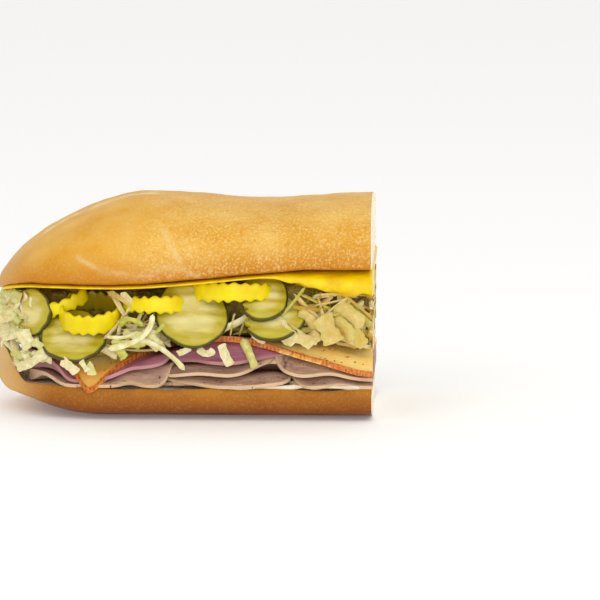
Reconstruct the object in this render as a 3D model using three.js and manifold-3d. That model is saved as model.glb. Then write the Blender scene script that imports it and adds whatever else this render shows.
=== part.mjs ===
// One half of a submarine sandwich, cut across: a golden roll split into crown and heel, filled with roast
// pork, ham, rinded cheese, shredded lettuce, pickle chips, banana pepper rings and mustard.
// Millimetres, +Z up. +X runs along the roll from its rounded end to the cut face, the front is -Y,
// and the origin is on the surface it rests on, at the middle of the half.
import * as THREE from 'three';
import { mergeVertices } from 'three/addons/utils/BufferGeometryUtils.js';
import Module from 'manifold-3d';

const wasm = await Module();
wasm.setup();

// ---------------------------------------------------------------- driving sizes
const LENGTH = 152; // from the rounded end to the cut face
const CUT = 75.5; // x of the cut face
const NOSE = CUT - LENGTH; // x of the rounded end
const HALF_WIDTH = 42; // of the roll
const GAP = 0.3; // between touching pieces

const CROWN_TOP = 87; // highest point of the crown
const CROWN_SADDLE = 2.8; // how far the crown dips between its two high places
const CROWN_TAPER = 59.5; // length over which the crown comes down to its end
const CROWN_END = 50; // height at which the crown's end closes
const SPLIT_LEFT = 53.6; // underside of the crown near the rounded end
const SPLIT_RISE = 6.2; // how much higher it is at the cut

const HEEL_TOP = 12.6; // the flat crumb the fillings lie on
const HEEL_LIP = 18; // how far the heel's end curls up above that
const HEEL_UPTURN = 8.4; // how far the underside lifts at the rounded end

const PEPPER_WALL = 2.1;
const PEPPER_WAVE = 5; // from one ridge of the wavy cut to the next
const PICKLE_THICK = 3.2;
const CHEESE_THICK = 2.2;
const MUSTARD_THICK = 1.3;

// ---------------------------------------------------------------- small maths
const { sin, cos, abs, sign, exp, PI, max, min } = Math;

function smooth(from, to, value) {
  const t = min(1, max(0, (value - from) / (to - from)));
  return t * t * (3 - 2 * t);
}

function mix(a, b, t) {
  return a + (b - a) * t;
}

function bell(value, middle, width) {
  return exp(-(((value - middle) / width) ** 2));
}

// A curve that starts at 0 where x is `start`, and has grown round to 1 after `reach`.
function roundedEnd(x, start, reach, power) {
  const t = min(1, max(0, 1 - (x - start) / reach));
  return (1 - t ** power) ** (1 / power);
}

// Cross-sections lie closer together near the rounded end.
const STEPS = 13;
const stations = Array.from({ length: STEPS + 1 }, (_, i) => NOSE + LENGTH * (i / STEPS) ** 1.55);

// ---------------------------------------------------------------- the form, as heights over the plan
function halfWidth(x) {
  return HALF_WIDTH * roundedEnd(x, NOSE - 0.4, 48, 2.1);
}

function splitHeight(x) {
  return SPLIT_LEFT + SPLIT_RISE * smooth(-30, 60, x) - 5.6 * exp(-(x - NOSE) / 8);
}

function crownHeight(x) {
  const taperEnd = NOSE - 0.5 + CROWN_TAPER;
  if (x < taperEnd) {
    return CROWN_END + (CROWN_TOP - CROWN_END) * roundedEnd(x, NOSE - 0.5, CROWN_TAPER, 1.5);
  }
  return CROWN_TOP - CROWN_SADDLE * sin((PI * (x - taperEnd)) / 100) ** 2;
}

function heelUnderside(x) {
  return HEEL_UPTURN * (1 - smooth(0, 1, (x - NOSE) / 48)) ** 1.6;
}

function mustardUnderside(x, y) {
  const drip = smooth(30, 62, x) * smooth(-28, -37, y);
  return splitHeight(x) - GAP - MUSTARD_THICK - 6.5 * drip;
}

// Top of the meat: what the cheese and the lettuce lie on.
function meatTop(x, y) {
  const front = 20 + 11 * bell(x, 16, 30) + 5.5 * bell(x, -62, 9) - 4.2 * bell(x, -36, 12) - 2.5 * smooth(55, 75, x);
  const middle = 26.5 + 1.5 * sin(x / 20) - 2 * smooth(45, 75, x);
  const back = 22 + 3.5 * sin(x / 17 + 1);
  return y < 0 ? mix(middle, front, smooth(-14, -36, y)) : mix(middle, back, smooth(14, 36, y));
}

// A surface between the heel and the top of the meat: share 0 is the heel, share 1 the top.
function meatLevel(share) {
  return (x, y) => HEEL_TOP + GAP / 2 + share * (meatTop(x, y) - HEEL_TOP - GAP / 2);
}

// ---------------------------------------------------------------- making solids
function signedVolume(position, index) {
  const [a, b, c] = [new THREE.Vector3(), new THREE.Vector3(), new THREE.Vector3()];
  let total = 0;
  for (let i = 0; i < index.count; i += 3) {
    a.fromBufferAttribute(position, index.getX(i));
    b.fromBufferAttribute(position, index.getX(i + 1));
    c.fromBufferAttribute(position, index.getX(i + 2));
    total += a.dot(b.cross(c)) / 6;
  }
  return total;
}

function toSolid(geometry) {
  const bare = geometry.clone();
  bare.deleteAttribute('normal');
  bare.deleteAttribute('uv');
  const merged = mergeVertices(bare, 1e-4);
  const triVerts = new Uint32Array(merged.index.array);
  if (signedVolume(merged.attributes.position, merged.index) < 0) triVerts.reverse();
  const vertProperties = new Float32Array(merged.attributes.position.array);
  return new wasm.Manifold(new wasm.Mesh({ numProp: 3, vertProperties, triVerts }));
}

function toGeometry(solid) {
  const mesh = solid.getMesh();
  const geometry = new THREE.BufferGeometry();
  geometry.setAttribute('position', new THREE.BufferAttribute(mesh.vertProperties, 3));
  geometry.setIndex(new THREE.BufferAttribute(mesh.triVerts, 1));
  return geometry;
}

// Crumbs that a cut leaves loose are dropped, and the main piece is kept.
function mainPiece(solid) {
  return solid.decompose().sort((a, b) => b.volume() - a.volume())[0];
}

function indexed(points, triangles) {
  const geometry = new THREE.BufferGeometry().setFromPoints(points);
  geometry.setIndex(triangles);
  return geometry;
}

// A closed body through rings of equally many points, its two ends closed by fans.
function loft(rings) {
  const count = rings[0].length;
  const points = rings.flat();
  const triangles = [];
  for (let r = 0; r + 1 < rings.length; r++) {
    for (let i = 0; i < count; i++) {
      const a = r * count + i;
      const b = r * count + ((i + 1) % count);
      triangles.push(a, b, b + count, a, b + count, a + count);
    }
  }
  for (const [ring, turn] of [[0, 1], [rings.length - 1, -1]]) {
    const middle = rings[ring].reduce((sum, p) => sum.add(p), new THREE.Vector3()).divideScalar(count);
    const centre = points.push(middle) - 1;
    for (let i = 0; i < count; i++) {
      const a = ring * count + i;
      const b = ring * count + ((i + 1) % count);
      triangles.push(...(turn > 0 ? [centre, b, a] : [centre, a, b]));
    }
  }
  return indexed(points, triangles);
}

// The space between two height functions, on one grid for every layer so that their facets run parallel.
const ROWS = [-44.5, -40, -36, -28, -12, 12, 28, 36, 44.5];

function slab(lower, upper) {
  const points = [];
  for (const surface of [lower, upper]) {
    for (const x of stations) {
      for (const y of ROWS) points.push(new THREE.Vector3(x, y, surface(x, y)));
    }
  }
  const layer = stations.length * ROWS.length;
  const triangles = [];
  for (let i = 0; i + 1 < stations.length; i++) {
    for (let j = 0; j + 1 < ROWS.length; j++) {
      const a = i * ROWS.length + j;
      const [b, c, d] = [a + ROWS.length, a + ROWS.length + 1, a + 1];
      triangles.push(a, c, b, a, d, c);
      triangles.push(a + layer, b + layer, c + layer, a + layer, c + layer, d + layer);
    }
  }
  const wall = (a, b) => triangles.push(a, b, b + layer, a, b + layer, a + layer);
  const last = (stations.length - 1) * ROWS.length;
  for (let j = 0; j + 1 < ROWS.length; j++) {
    wall(j + 1, j);
    wall(last + j, last + j + 1);
  }
  for (let i = 0; i + 1 < stations.length; i++) {
    wall(i * ROWS.length, (i + 1) * ROWS.length);
    wall((i + 2) * ROWS.length - 1, (i + 1) * ROWS.length - 1);
  }
  return toSolid(indexed(points, triangles));
}

// A tall block with the plan outline given by points, to cut a layer out of a slab.
function block(outline) {
  const shape = new THREE.Shape(outline.map(([x, y]) => new THREE.Vector2(x, y)));
  const geometry = new THREE.ExtrudeGeometry(shape, { depth: 100, bevelEnabled: false });
  return toSolid(geometry.translate(0, 0, -5));
}

// An oblong with round corners and a slightly wandering edge.
function slicePlan({ from, to, front, back, phase }, steps = 16) {
  const outline = [];
  for (let i = 0; i < steps; i++) {
    const turn = (2 * PI * i) / steps;
    const wander = 1 + 0.02 * sin(3 * turn + phase) + 0.012 * sin(5 * turn - phase);
    const reach = (f) => sign(f) * abs(f) ** 0.42 * wander;
    outline.push([
      mix(from, to, 0.5) + (reach(cos(turn)) * (to - from)) / 2,
      mix(front, back, 0.5) + (reach(sin(turn)) * (back - front)) / 2,
    ]);
  }
  return outline;
}

// The plan of the roll, drawn in by `inset` and left open past the cut.
function rollPlan(inset) {
  const along = stations.filter((x) => x > NOSE + 1);
  const side = along.map((x) => [x + inset * (1 - (x - NOSE) / LENGTH), max(0.5, halfWidth(x) - inset)]);
  const front = side.map(([x, y]) => [x, -y]);
  return [...front, [CUT + 20, inset - HALF_WIDTH], [CUT + 20, HALF_WIDTH - inset], ...side.reverse()];
}

// ---------------------------------------------------------------- bread
function crown() {
  const ARC = 12;
  const rings = stations.map((x) => {
    const width = max(2.5, halfWidth(x));
    const foot = splitHeight(x);
    const tall = max(3, crownHeight(x) - foot);
    const shoulder = min(4, tall / 3);
    const ring = [new THREE.Vector3(x, -0.94 * width, foot), new THREE.Vector3(x, 0.94 * width, foot)];
    for (let i = 0; i <= ARC; i++) {
      const turn = (PI * i) / ARC;
      const across = sign(cos(turn)) * abs(cos(turn)) ** 0.86;
      ring.push(new THREE.Vector3(x, width * across, foot + shoulder + (tall - shoulder) * sin(turn) ** 0.86));
    }
    return ring;
  });
  return toSolid(loft(rings));
}

// `grow` thickens it all round: the outside moves out and the inside of the lip moves in.
function heel(grow = 0) {
  const rings = stations.map((x) => {
    const width = max(2.5, halfWidth(x) - 0.5);
    const under = heelUnderside(x);
    const lip = HEEL_LIP * (1 - smooth(1, 11, x - NOSE));
    const bulge = (HEEL_TOP - under) * 0.62 + under;
    const side = [
      [0.66, 1, under],
      [0.86, 1, mix(under, bulge, 0.2)],
      [0.97, 1, mix(under, bulge, 0.62)],
      [1, 1, bulge],
      [0.985, 1, HEEL_TOP - 1 + 0.7 * lip],
      [0.95, 1, HEEL_TOP + lip + grow],
      [0.78, -1, HEEL_TOP + 0.8 * lip + grow],
      [0.62, -1, HEEL_TOP + 0.1 * max(0, lip - 2) + grow],
      [0.3, -1, HEEL_TOP + grow],
    ];
    const across = ([y, out]) => max(0.05, y * width + out * grow);
    const right = side.map((point) => new THREE.Vector3(x, across(point), point[2]));
    const left = side.map((point) => new THREE.Vector3(x, -across(point), point[2])).reverse();
    return [...right, ...left];
  });
  return toSolid(loft(rings));
}

// ---------------------------------------------------------------- mustard under the crown
function mustard(grow = 0) {
  const upper = (x) => splitHeight(x) - GAP + grow;
  const lower = (x, y) => mustardUnderside(x, y) - grow;
  return slab(lower, upper).intersect(block(rollPlan(2.6 - grow)));
}

// ---------------------------------------------------------------- meat
// Each slice fills the space between two levels of the stack.
const SLICES = {
  pork_1: { levels: [0, 0.35], from: -66.5, to: -37.5, front: -37, back: 36, phase: 0.4 },
  pork_2: { levels: [0, 0.65], from: -36.2, to: -8.2, front: -39, back: 38, phase: 2.1 },
  pork_3: { levels: [0, 0.25], from: -7, to: 42, front: -39, back: 39, phase: 3.3 },
  pork_4: { levels: [0.25, 0.5], from: -6, to: 40, front: -38.4, back: 37, phase: 5.2 },
  pork_5: { levels: [0, 0.5], from: 43.4, to: 82, front: -39.4, back: 39, phase: 1.2 },
  pork_6: { levels: [0.5, 1], from: 42.6, to: 82, front: -38.2, back: 37, phase: 4.4 },
  ham_1: { levels: [0.35, 1], from: -65.5, to: -39.5, front: -38, back: 34, phase: 1.7 },
  ham_2: { levels: [0.65, 1], from: -37.6, to: -7.6, front: -38, back: 37, phase: 0.9 },
  ham_3: { levels: [0.5, 1], from: -6, to: 41, front: -37.4, back: 38, phase: 2.8 },
};

function meatSlice({ levels, ...plan }) {
  const lower = meatLevel(levels[0]);
  const upper = meatLevel(levels[1]);
  const layer = slab((x, y) => lower(x, y) + GAP / 2, (x, y) => upper(x, y) - GAP / 2);
  return layer.intersect(block(slicePlan(plan)));
}

// ---------------------------------------------------------------- cheese
const CHEESE_SIDE = 84;
const SEAM_X = 8; // where the two slices meet at the front
const SEAM_LEAN = 0.113;

// One corner of the first slice hangs over the front of the meat.
function drape(x, y) {
  return 5 * smooth(-34, -43, y) * bell(x, -38, 14);
}

function cheeseLayer(plan, grow) {
  const under = (x, y) => meatTop(x, y) + GAP - drape(x, y) - grow;
  const over = (x, y) => meatTop(x, y) + GAP + CHEESE_THICK - drape(x, y) + grow;
  return slab(under, over).intersect(block(plan));
}

function cheese1(grow = 0) {
  const turn = THREE.MathUtils.degToRad(39.5);
  const tip = new THREE.Vector2(-38, -43.5);
  const along = new THREE.Vector2(cos(turn), sin(turn));
  const away = new THREE.Vector2(-sin(turn), cos(turn));
  const corner = (u, v) => tip.clone().addScaledVector(along, u).addScaledVector(away, v).toArray();
  const [near, far] = [-grow, CHEESE_SIDE + grow];
  const plan = [corner(near, near), corner(far, near), corner(far, far), corner(near, far)];
  const seam = (y) => SEAM_X - 0.6 + grow + SEAM_LEAN * (y + 33);
  const room = [[-63 - grow, -50], [seam(-50), -50], [seam(38), 38 + grow], [-63 - grow, 38 + grow]];
  return cheeseLayer(plan, grow).intersect(block(room)).intersect(block(rollPlan(-3 - grow)));
}

function cheese2(grow = 0) {
  const seam = (y) => SEAM_X + 0.6 - grow + SEAM_LEAN * (y + 33);
  const plan = [[seam(-33), -33.4 - grow], [90, -41.6 - grow], [90, 38.5 + grow], [seam(38.5), 38.5 + grow]];
  return cheeseLayer(plan, grow);
}

// ---------------------------------------------------------------- pickle chips
const BACK = 180; // turned to face the back

// turn: about the vertical. tilt: from lying flat towards standing, facing the front. Both in degrees.
const PICKLES = {
  pickle_1: { at: [-62, -25.4, 41.5], turn: -38, tilt: 80, radius: 10.2, curl: 0.8, phase: 1 },
  pickle_2: { at: [-44.7, -33, 33], turn: -2, tilt: 46, radius: 13, curl: 1.2, phase: 2 },
  pickle_3: { at: [3, -34.6, 42.6], turn: 3, tilt: 62, radius: 14.6, curl: 1.4, phase: 3 },
  pickle_4: { at: [34.6, -32.9, 44.7], turn: 4, tilt: 52, radius: 14.8, curl: 0.6, phase: 4 },
  pickle_5: { at: [31.4, -34.1, 49.2], turn: 4, tilt: 52, radius: 10.6, curl: 0.6, phase: 5 },
  pickle_6: { at: [-40, 31, 36], turn: BACK + 6, tilt: 50, radius: 13.4, curl: 1, phase: 6 },
  pickle_7: { at: [8, 32, 38], turn: BACK - 4, tilt: 56, radius: 14, curl: 1.2, phase: 7 },
  pickle_8: { at: [66, 28, 38], turn: BACK + 3, tilt: 42, radius: 14.2, curl: 0.8, phase: 8 },
};

function placement({ at, turn, tilt, roll = 0 }) {
  const radians = THREE.MathUtils.degToRad;
  const spin = new THREE.Quaternion().setFromEuler(new THREE.Euler(radians(tilt), 0, radians(turn), 'ZXY'));
  const lean = new THREE.Quaternion().setFromAxisAngle(new THREE.Vector3(0, 1, 0), radians(roll));
  return new THREE.Matrix4().compose(new THREE.Vector3(...at), spin.multiply(lean), new THREE.Vector3(1, 1, 1));
}

// A slightly oval chip, bowed along one diameter.
function pickleChip({ radius, curl, phase }, grow = 0) {
  const SIDES = 16;
  const rim = (turn) => (radius + grow) * (1 + 0.025 * sin(2 * turn + phase) + 0.015 * sin(5 * turn + phase));
  const half = PICKLE_THICK / 2 + grow;
  const stack = [[0.92, -half], [1, -half * 0.4], [1, half * 0.4], [0.92, half]];
  const rings = stack.map(([share, z]) => {
    const ring = [];
    for (let i = 0; i < SIDES; i++) {
      const turn = (2 * PI * i) / SIDES;
      const x = share * rim(turn) * cos(turn);
      const y = share * rim(turn) * sin(turn);
      ring.push(new THREE.Vector3(x, y, z - curl * (x / radius) ** 2));
    }
    return ring;
  });
  return loft(rings);
}

// A plain drum round a chip, as room for the lettuce to keep clear of.
function pickleRoom({ radius, curl }) {
  const rim = radius * 1.08 + GAP;
  const drum = new THREE.CylinderGeometry(rim, rim, PICKLE_THICK + 2 * GAP + curl * 1.1, 12);
  return drum.rotateX(PI / 2).translate(0, 0, -curl / 2);
}

// ---------------------------------------------------------------- banana pepper rings
const PEPPERS = {
  pepper_1: { at: [-38, -28.4, 41], turn: 0, tilt: 11, across: 25.6, deep: 25, tall: 8.6 },
  pepper_2: { at: [-11.6, -27, 45.2], turn: 0, tilt: -7, across: 26.4, deep: 26, tall: 6.2 },
  pepper_3: { at: [20, -26.6, 50.6], turn: 0, tilt: -6, across: 35, deep: 28, tall: 7 },
  pepper_4: { at: [-48.5, -23, 45.6], turn: 8, tilt: 3, roll: -22, across: 19, deep: 19, tall: 5.6 },
  pepper_5: { at: [-30, 24, 44.6], turn: BACK, tilt: 6, across: 27, deep: 26, tall: 7.4 },
  pepper_6: { at: [22, 24.6, 48], turn: BACK, tilt: -4, across: 31, deep: 27, tall: 7 },
  pepper_7: { at: [64, 3, 49.4], turn: 70, tilt: 5, across: 28, deep: 25, tall: 6.4 },
};

// A ring of pepper wall, its two cut faces rippled by the wavy knife: a corner at each crest and trough.
function pepperRing({ across, deep, tall }, grow = 0) {
  const crests = 2 * Math.round(across / PEPPER_WAVE / 2);
  const turns = [];
  for (let k = -crests; k < crests; k++) turns.push(Math.acos(-k / crests), Math.acos(-k / crests) + PI);
  for (const end of [0, PI]) turns.push(end + 0.3, end - 0.3);
  turns.sort((a, b) => a - b);
  const section = [
    [grow, -tall / 2 - grow],
    [grow, tall / 2 + grow],
    [-PEPPER_WALL - grow, tall / 2 + grow],
    [-PEPPER_WALL - grow, -tall / 2 - grow],
  ];
  const points = [];
  for (const turn of turns) {
    const ripple = 0.65 * cos(PI * crests * cos(turn));
    for (const [out, z] of section) {
      points.push(new THREE.Vector3((across / 2 + out) * cos(turn), (deep / 2 + out) * sin(turn), z + ripple));
    }
  }
  const triangles = [];
  for (let i = 0; i < points.length; i += 4) {
    for (let k = 0; k < 4; k++) {
      const [a, b] = [i + k, i + ((k + 1) % 4)];
      const [c, d] = [(b + 4) % points.length, (a + 4) % points.length];
      triangles.push(a, d, c, a, c, b);
    }
  }
  return indexed(points, triangles);
}

// The same ring without its ripples, as room for the lettuce to keep clear of.
function pepperRoom({ across, deep, tall }) {
  const SIDES = 12;
  const high = tall / 2 + 0.65 + GAP;
  const section = [[0.7, -high], [0.7, high], [-PEPPER_WALL - 0.7, high], [-PEPPER_WALL - 0.7, -high]];
  const profile = [...section, section[0]].map(([out, z]) => new THREE.Vector2(across / 2 + out, z));
  const round = new THREE.LatheGeometry(profile, SIDES);
  return round.rotateX(PI / 2).scale(1, deep / across, 1);
}

// ---------------------------------------------------------------- lettuce
// The heap of shreds as one uneven body, before its neighbours are cut out of it.
function lettuceSides() {
  const SIDE = 3;
  const rings = stations.slice(1).map((x) => {
    const edge = (t, side) => {
      const bulge = 0.88 - 0.15 * smooth(0.35, 0.75, t);
      const uneven = 1.2 * sin(x / 5.3 + 4 * t + side) + 0.9 * sin(x / 3.1 - 7 * t);
      const out = max(1, halfWidth(x) * bulge + uneven * smooth(NOSE, NOSE + 10, x));
      return new THREE.Vector3(x, side * out, mix(HEEL_TOP + 1, SPLIT_LEFT + SPLIT_RISE + 1, t));
    };
    const steps = Array.from({ length: SIDE + 1 }, (_, i) => i / SIDE);
    return [...steps.map((t) => edge(t, -1)), ...steps.map((t) => edge(1 - t, 1))];
  });
  return toSolid(loft(rings));
}

function lettuceHeap() {
  const onMeat = (x, y) => meatTop(x, y) + CHEESE_THICK + 2.2 * GAP;
  const lower = (x, y) => mix(HEEL_TOP + 1.5, onMeat(x, y), smooth(NOSE + 6, NOSE + 11, x));
  const upper = (x, y) => mustardUnderside(x, y) - GAP;
  return slab(lower, upper).intersect(lettuceSides());
}

// ---------------------------------------------------------------- assembly
const COLOURS = {
  crown: '#d9a24a',
  heel: '#b5701f',
  pork: '#b08a70',
  ham: '#b87a74',
  cheese: '#e0a040',
  lettuce: '#c8bf7c',
  pickle: '#bda53a',
  pepper: '#e6cc10',
  mustard: '#e2c010',
};
const ROUGHNESS = { crown: 0.6, heel: 0.6, pork: 0.55, ham: 0.4, pickle: 0.3, pepper: 0.3, mustard: 0.25 };

const sandwich = new THREE.Group();

// `matrix` is where the piece's own frame lies, so that its geometry is stored about its own middle.
function addPiece(name, solid, matrix = new THREE.Matrix4()) {
  const kind = name.split('_')[0];
  const roughness = ROUGHNESS[kind] ?? 0.5;
  const material = new THREE.MeshStandardMaterial({ color: COLOURS[kind], roughness, metalness: 0 });
  const geometry = toGeometry(mainPiece(solid)).applyMatrix4(matrix.clone().invert());
  const mesh = new THREE.Mesh(geometry, material);
  mesh.name = name;
  mesh.applyMatrix4(matrix);
  sandwich.add(mesh);
}

function cutAway(solid, cutters) {
  return cutters.reduce((rest, cutter) => rest.subtract(cutter), solid);
}

const pastTheCut = toSolid(new THREE.BoxGeometry(60, 200, 200).translate(CUT + 30, 0, 0));

addPiece('crown', crown());
addPiece('heel', heel());
addPiece('mustard', mustard());

const nearHeel = heel(GAP);
const nearMustard = mustard(GAP);
const nearPeppers = [];
for (const [name, ring] of Object.entries(PEPPERS)) {
  const matrix = placement(ring);
  const body = toSolid(pepperRing(ring).applyMatrix4(matrix));
  addPiece(name, cutAway(body, [pastTheCut, nearMustard, ...nearPeppers]), matrix);
  nearPeppers.push(toSolid(pepperRing(ring, GAP).applyMatrix4(matrix)));
}

const nearPickles = [];
for (const [name, chip] of Object.entries(PICKLES)) {
  const matrix = placement(chip);
  const body = toSolid(pickleChip(chip).applyMatrix4(matrix));
  addPiece(name, cutAway(body, [pastTheCut, nearMustard, ...nearPeppers, ...nearPickles]), matrix);
  nearPickles.push(toSolid(pickleChip(chip, GAP).applyMatrix4(matrix)));
}

addPiece('cheese_1', cutAway(cheese1(), [nearHeel, ...nearPeppers, ...nearPickles]));
addPiece('cheese_2', cutAway(cheese2(), [...nearPeppers, ...nearPickles]));

const nearCheese = [cheese1(GAP), cheese2(GAP)];
for (const [name, slice] of Object.entries(SLICES)) {
  addPiece(name, cutAway(meatSlice(slice), [nearHeel, nearCheese[0], ...nearPickles.slice(0, 2)]));
}

const meatRoom = slab(() => 0, meatTop).intersect(block([[-67.5, -42], [-50, -42], [-50, 42], [-67.5, 42]]));
const rooms = [
  ...Object.values(PEPPERS).map((ring) => toSolid(pepperRoom(ring).applyMatrix4(placement(ring)))),
  ...Object.values(PICKLES).map((chip) => toSolid(pickleRoom(chip).applyMatrix4(placement(chip)))),
];
addPiece('lettuce', cutAway(lettuceHeap(), [meatRoom, nearHeel, nearCheese[0], ...rooms]));

export default sandwich;
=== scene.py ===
# %% [markdown]
# # Half a submarine sandwich
# A golden roll is split lengthwise and filled from below with roast pork, ham, cheese with an orange
# rind, shredded lettuce, pickle chips, banana pepper rings and mustard, then cut across. The packed
# solids give every piece its place and size, and the cells below give each one its fine form and its
# finish. Shapes are worked out in millimetres and turned into metres when a piece is finished.

# %% Load the frame
import math
import random

import bmesh
import bpy
from mathutils import Matrix, Vector, noise


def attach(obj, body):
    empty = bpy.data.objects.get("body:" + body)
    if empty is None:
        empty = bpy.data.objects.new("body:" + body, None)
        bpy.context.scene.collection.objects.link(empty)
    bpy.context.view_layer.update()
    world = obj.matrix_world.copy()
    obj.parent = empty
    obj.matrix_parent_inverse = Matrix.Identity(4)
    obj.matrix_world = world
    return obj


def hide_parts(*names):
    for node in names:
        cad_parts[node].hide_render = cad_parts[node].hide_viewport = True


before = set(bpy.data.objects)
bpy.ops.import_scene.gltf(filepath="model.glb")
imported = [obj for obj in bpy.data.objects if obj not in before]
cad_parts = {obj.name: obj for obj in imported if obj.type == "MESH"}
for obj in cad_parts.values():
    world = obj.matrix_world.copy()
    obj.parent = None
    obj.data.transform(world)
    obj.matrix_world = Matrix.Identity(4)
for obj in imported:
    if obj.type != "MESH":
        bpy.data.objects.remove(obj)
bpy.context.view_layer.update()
MM = 0.001
scene = bpy.context.scene
print("frame holds", len(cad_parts), "solids")

# %% [markdown]
# ## Small maths
# Organic forms are easiest to steer with a few blends: a soft step, a mix, a bell-shaped bump, and a
# smooth random field that gives the same value at the same place on every run.

# %% Blends and a steady random field
def smooth(start, end, value):
    t = min(1.0, max(0.0, (value - start) / (end - start)))
    return t * t * (3 - 2 * t)


def mix(a, b, t):
    return a + (b - a) * t


def bell(value, middle, width):
    return math.exp(-(((value - middle) / width) ** 2))


def lumps(point, size, seed=0.0):
    """Between about -1 and 1, changing over `size` millimetres."""
    return noise.noise(Vector(point) / size + Vector((seed * 7.3, seed * 3.1, seed * 5.7)))


def bent(value, power):
    return math.copysign(abs(value) ** power, value)


print("soft step half way:", smooth(0, 1, 0.5))

# %% [markdown]
# ## The form over the plan
# Everything in a sandwich lies on what is below it, so the form is a set of heights over the plan: the
# roll's half width, the crown's top and underside, the heel's underside, and the top of the meat. They
# match the solids.

# %% Heights over the plan
CUT = 75.5
LENGTH = 152.0
NOSE = CUT - LENGTH
HALF_WIDTH = 42.0
CROWN_TOP = 87.0
CROWN_END = 50.0
CROWN_TAPER = 59.5
HEEL_TOP = 12.6
HEEL_LIP = 18.0


def rounded_end(x, start, reach, power):
    t = min(1.0, max(0.0, 1 - (x - start) / reach))
    return (1 - t**power) ** (1 / power)


def half_width(x):
    return HALF_WIDTH * rounded_end(x, NOSE - 0.4, 48, 2.1)


def split_height(x):
    return 53.6 + 6.2 * smooth(-30, 60, x) - 5.6 * math.exp(-(x - NOSE) / 8)


def crown_height(x):
    taper_end = NOSE - 0.5 + CROWN_TAPER
    if x < taper_end:
        return CROWN_END + (CROWN_TOP - CROWN_END) * rounded_end(x, NOSE - 0.5, CROWN_TAPER, 1.5)
    return CROWN_TOP - 2.8 * math.sin(math.pi * (x - taper_end) / 100) ** 2


def heel_underside(x):
    return 8.4 * (1 - smooth(0, 48, x - NOSE)) ** 1.6


def mustard_underside(x, y):
    return split_height(x) - 1.6 - 6.5 * smooth(30, 62, x) * smooth(-28, -37, y)


def meat_top(x, y):
    front = 20 + 11 * bell(x, 16, 30) + 5.5 * bell(x, -62, 9)
    front -= 4.2 * bell(x, -36, 12)
    front -= 2.5 * smooth(55, 75, x)
    middle = 26.5 + 1.5 * math.sin(x / 20) - 2 * smooth(45, 75, x)
    back = 22 + 3.5 * math.sin(x / 17 + 1)
    if y < 0:
        return mix(middle, front, smooth(-14, -36, y))
    return mix(middle, back, smooth(14, 36, y))


def meat_level(share, x, y):
    return mix(HEEL_TOP + 0.3, meat_top(x, y), share)


print("crown top", round(crown_height(-17), 1), "split", round(split_height(20), 1))

# %% [markdown]
# ## Finishes
# Each material is a small network of nodes. One helper adds a node with its settings and links, another
# turns the usual hex colours, which are sRGB, into the linear values that the shaders work in. Pattern
# scales are per metre, so a pattern of a given size in millimetres has a scale of 1000 over that size.

# %% Helpers for materials
def linear(hex_colour):
    channels = [int(hex_colour[i : i + 2], 16) / 255 for i in (1, 3, 5)]
    return tuple(c / 12.92 if c <= 0.04045 else ((c + 0.055) / 1.055) ** 2.4 for c in channels) + (1.0,)


def per_mm(size):
    return 1000.0 / size


def add(tree, kind, links=None, **settings):
    """One node, with settings by name and inputs by name or number: a socket is linked, a value is set."""
    node = tree.nodes.new(kind)
    for key, value in settings.items():
        setattr(node, key, value)
    for socket, value in (links or {}).items():
        if isinstance(value, bpy.types.NodeSocket):
            tree.links.new(value, node.inputs[socket])
        else:
            node.inputs[socket].default_value = value
    return node


def new_material(name):
    material = bpy.data.materials.new(name)
    material.use_nodes = True
    tree = material.node_tree
    tree.nodes.clear()
    return material, tree


def finish_material(tree, colour, bump, strength, distance_mm, **surface):
    """Joins a colour and a bump height to one surface shader. Other sockets are set by name."""
    heights = {"Strength": strength, "Distance": distance_mm * MM, "Height": bump}
    links = {"Base Color": colour, "Normal": add(tree, "ShaderNodeBump", heights).outputs[0]}
    links.update({key.replace("_", " "): value for key, value in surface.items()})
    shader = add(tree, "ShaderNodeBsdfPrincipled", links)
    add(tree, "ShaderNodeOutputMaterial", {"Surface": shader.outputs[0]})


FACTOR, COLOUR_A, COLOUR_B, COLOUR_OUT = 0, 6, 7, 2


def blend(tree, factor, a, b):
    """From colour a to colour b. A factor given by name is painted on the mesh."""
    factor = painted(tree, factor) if isinstance(factor, str) else factor
    a, b = (linear(colour) if isinstance(colour, str) else colour for colour in (a, b))
    links = {FACTOR: factor, COLOUR_A: a, COLOUR_B: b}
    return add(tree, "ShaderNodeMix", links, data_type="RGBA").outputs[COLOUR_OUT]


def field(tree, where, size_mm, low, high, detail=3.0):
    """Smooth noise of a given size, stretched so that `low` reads 0 and `high` reads 1."""
    links = {"Vector": where, "Scale": per_mm(size_mm), "Detail": detail}
    grain = add(tree, "ShaderNodeTexNoise", links)
    links = {"Value": grain.outputs[0], "From Min": low, "From Max": high}
    return add(tree, "ShaderNodeMapRange", links).outputs[0]


def painted(tree, name):
    return add(tree, "ShaderNodeAttribute", attribute_name=name).outputs["Fac"]


def local(tree, stretch=(1, 1, 1)):
    place = add(tree, "ShaderNodeTexCoord").outputs["Object"]
    return add(tree, "ShaderNodeMapping", {"Vector": place, "Scale": stretch}).outputs[0]


print("golden crust in linear values:", [round(c, 3) for c in linear("#D9A24A")])

# %% [markdown]
# ## Crust and crumb
# A baked roll is gold where it caught the heat and paler where it rose last. Its skin carries fine pale
# blisters a millimetre across, partly their own colour and partly painted highlights, and broader, cloudy
# browning. The crumb is cream and full of small holes, which here are darker spots, painted shade, with a
# bump. The crust's `flour`, its darkening towards the lower edge, partly browning and partly painted
# shade, and the painted light on the rounded end are painted on the mesh, so they follow the score, the
# edges and the rounded end.

# %% Bread materials
def times(tree, a, b):
    return add(tree, "ShaderNodeMath", {0: a, 1: b}, operation="MULTIPLY").outputs[0]


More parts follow.
